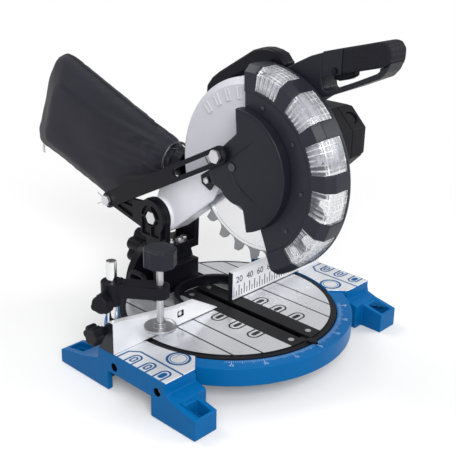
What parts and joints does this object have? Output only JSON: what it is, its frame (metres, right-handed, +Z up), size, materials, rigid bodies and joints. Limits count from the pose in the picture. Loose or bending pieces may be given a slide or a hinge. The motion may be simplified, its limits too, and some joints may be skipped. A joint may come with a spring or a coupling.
{
  "type": "compound mitre saw",
  "caption": "Bench compound mitre saw: blue base, silver turntable and fence, tilting chop head with guarded blade, slotted guard link, hold-down clamp and dust bag.",
  "frame": {"origin": "on the bench, in the middle of the four bench bolt holes", "axes": "+X to the right along the fence, +Y to the rear, +Z up"},
  "size_m": [0.395, 0.575, 0.401],
  "materials": {
    "blue_paint": "satin",
    "rubber": "matte",
    "fence_metal": "satin",
    "steel": "bright",
    "table_metal": "satin",
    "black_plastic": "matte",
    "charcoal_plastic": "matte",
    "black_cast": "satin",
    "silver_cast": "satin",
    "clear_plastic": "clear",
    "bag_cloth": "matte",
    "chrome_steel": "polished"
  },
  "bodies": {
    "base": {"base_casting": "blue_paint", "rubber_feet": "rubber", "fence": "fence_metal", "fence_bridge": "black_cast", "fence_bolts": "steel"},
    "turntable": {"turntable_disc": "table_metal", "turntable_rim": "black_plastic", "kerf_plate_left": "charcoal_plastic", "kerf_plate_right": "charcoal_plastic", "kerf_screws": "steel", "mitre_pointer": "black_plastic", "mitre_pivot": "steel", "bevel_bracket": "black_cast", "bevel_shaft": "steel"},
    "mitre_lock": {"mitre_lock": "black_plastic"},
    "bevel_arm": {"bevel_arm": "black_cast", "lock_stud": "steel", "link_bracket": "black_cast", "pivot_bolt": "steel", "link_rear_pin": "steel", "depth_stop": "steel"},
    "bevel_knob": {"bevel_knob": "black_plastic"},
    "lock_pin": {"lock_pin": "steel"},
    "head": {"arm_casting": "silver_cast", "upper_guard": "silver_cast", "gear_housing": "black_cast", "motor_housing": "black_plastic", "motor_cap": "black_plastic", "motor_screws": "steel", "brush_caps": "black_plastic", "handle_left": "black_plastic", "handle_right": "black_plastic", "handle_collar": "black_plastic", "handle_grip": "rubber", "carry_handle": "black_plastic", "dust_port": "black_plastic", "bag_clip": "steel", "dust_bag": "bag_cloth", "cable_gland": "black_plastic", "arm_bracket": "black_cast"},
    "blade": {"blade": "steel", "blade_flanges": "steel", "arbor_bolt": "steel", "spindle": "steel"},
    "trigger": {"trigger": "black_plastic"},
    "lock_button": {"lock_button": "black_plastic"},
    "lower_guard": {"guard_frame": "charcoal_plastic", "guard_windows": "clear_plastic", "guard_cover": "charcoal_plastic", "guard_screws": "steel", "link_front_pin": "steel"},
    "link": {"link_bar": "black_cast"},
    "clamp_post": {"clamp_post": "chrome_steel"},
    "clamp_arm": {"clamp_arm": "black_cast"},
    "arm_lock": {"arm_lock_knob": "black_plastic"},
    "clamp_pad": {"clamp_pad": "steel"},
    "clamp_screw": {"clamp_screw": "steel", "clamp_knob": "black_plastic"},
    "post_lock": {"post_lock_knob": "black_plastic"}
  },
  "joints": [
    {"name": "mitre", "type": "hinge", "parent": "base", "child": "turntable", "pos_m": [0, 0.0125, 0.05], "axis": [0, 0, 1], "range_deg": [-45, 45]},
    {"name": "mitre_lock_turn", "type": "hinge", "parent": "turntable", "child": "mitre_lock", "pos_m": [-0.064, 0.1125, 0.06], "axis": [0, 0, 1], "range_deg": [0, 25]},
    {"name": "bevel", "type": "hinge", "parent": "turntable", "child": "bevel_arm", "pos_m": [0, 0.1125, 0.05], "axis": [0, -1, 0], "range_deg": [0, 30]},
    {"name": "bevel_knob_turn", "type": "hinge", "parent": "bevel_arm", "child": "bevel_knob", "pos_m": [0, 0.1625, 0.08], "axis": [0, 1, 0], "range_deg": [-180, 180]},
    {"name": "lock_pin_push", "type": "slide", "parent": "bevel_arm", "child": "lock_pin", "axis": [-1, 0, 0], "range_m": [0, 0.006]},
    {"name": "chop", "type": "hinge", "parent": "bevel_arm", "child": "head", "pos_m": [0, 0.1205, 0.145], "axis": [1, 0, 0], "range_deg": [0, 30], "stiffness_Nm_per_rad": 18, "springref_deg": -51.57},
    {"name": "blade_spin", "type": "hinge", "parent": "head", "child": "blade", "pos_m": [0, -0.0275, 0.232], "axis": [1, 0, 0], "continuous": true},
    {"name": "guard_turn", "type": "hinge", "parent": "head", "child": "lower_guard", "pos_m": [-0.02, -0.0275, 0.232], "axis": [1, 0, 0], "range_deg": [-58, 3]},
    {"name": "link_swing", "type": "hinge", "parent": "bevel_arm", "child": "link", "pos_m": [-0.038, 0.1995, 0.1505], "axis": [1, 0, 0], "range_deg": [-2, 27]},
    {"name": "trigger_pull", "type": "slide", "parent": "head", "child": "trigger", "axis": [0, 0, 1], "range_m": [0, 0.004], "stiffness_N_per_m": 900},
    {"name": "lock_button_push", "type": "slide", "parent": "head", "child": "lock_button", "axis": [1, 0, 0], "range_m": [0, 0.003], "stiffness_N_per_m": 700},
    {"name": "post_turn", "type": "hinge", "parent": "base", "child": "clamp_post", "pos_m": [-0.1745, 0.027, 0.09], "axis": [0, 0, -1], "range_deg": [-15, 40]},
    {"name": "arm_height", "type": "slide", "parent": "clamp_post", "child": "clamp_arm", "axis": [0, 0, 1], "range_m": [-0.01, 0.012]},
    {"name": "arm_lock_turn", "type": "hinge", "parent": "clamp_arm", "child": "arm_lock", "pos_m": [-0.1745, 0.027, 0.1138], "axis": [0.9563, 0.2924, 0], "range_deg": [-120, 120]},
    {"name": "clamp_travel", "type": "slide", "parent": "clamp_arm", "child": "clamp_pad", "axis": [0, 0, -1], "range_m": [-0.018, 0.019]},
    {"name": "clamp_spin", "type": "hinge", "parent": "clamp_pad", "child": "clamp_screw", "pos_m": [-0.142, -0.0165, 0.13], "axis": [0, 0, -1], "range_deg": [-3300, 3480]},
    {"name": "post_lock_turn", "type": "hinge", "parent": "base", "child": "post_lock", "pos_m": [-0.187, 0.027, 0.076], "axis": [1, 0, 0], "range_deg": [-180, 180]}
  ],
  "couplings": [
    {"joint": "guard_turn", "follows": "chop", "ratio": -1.9},
    {"joint": "link_swing", "follows": "chop", "ratio": 0.86},
    {"joint": "clamp_spin", "follows": "clamp_travel", "rad_per_m": 3141.6}
  ]
}
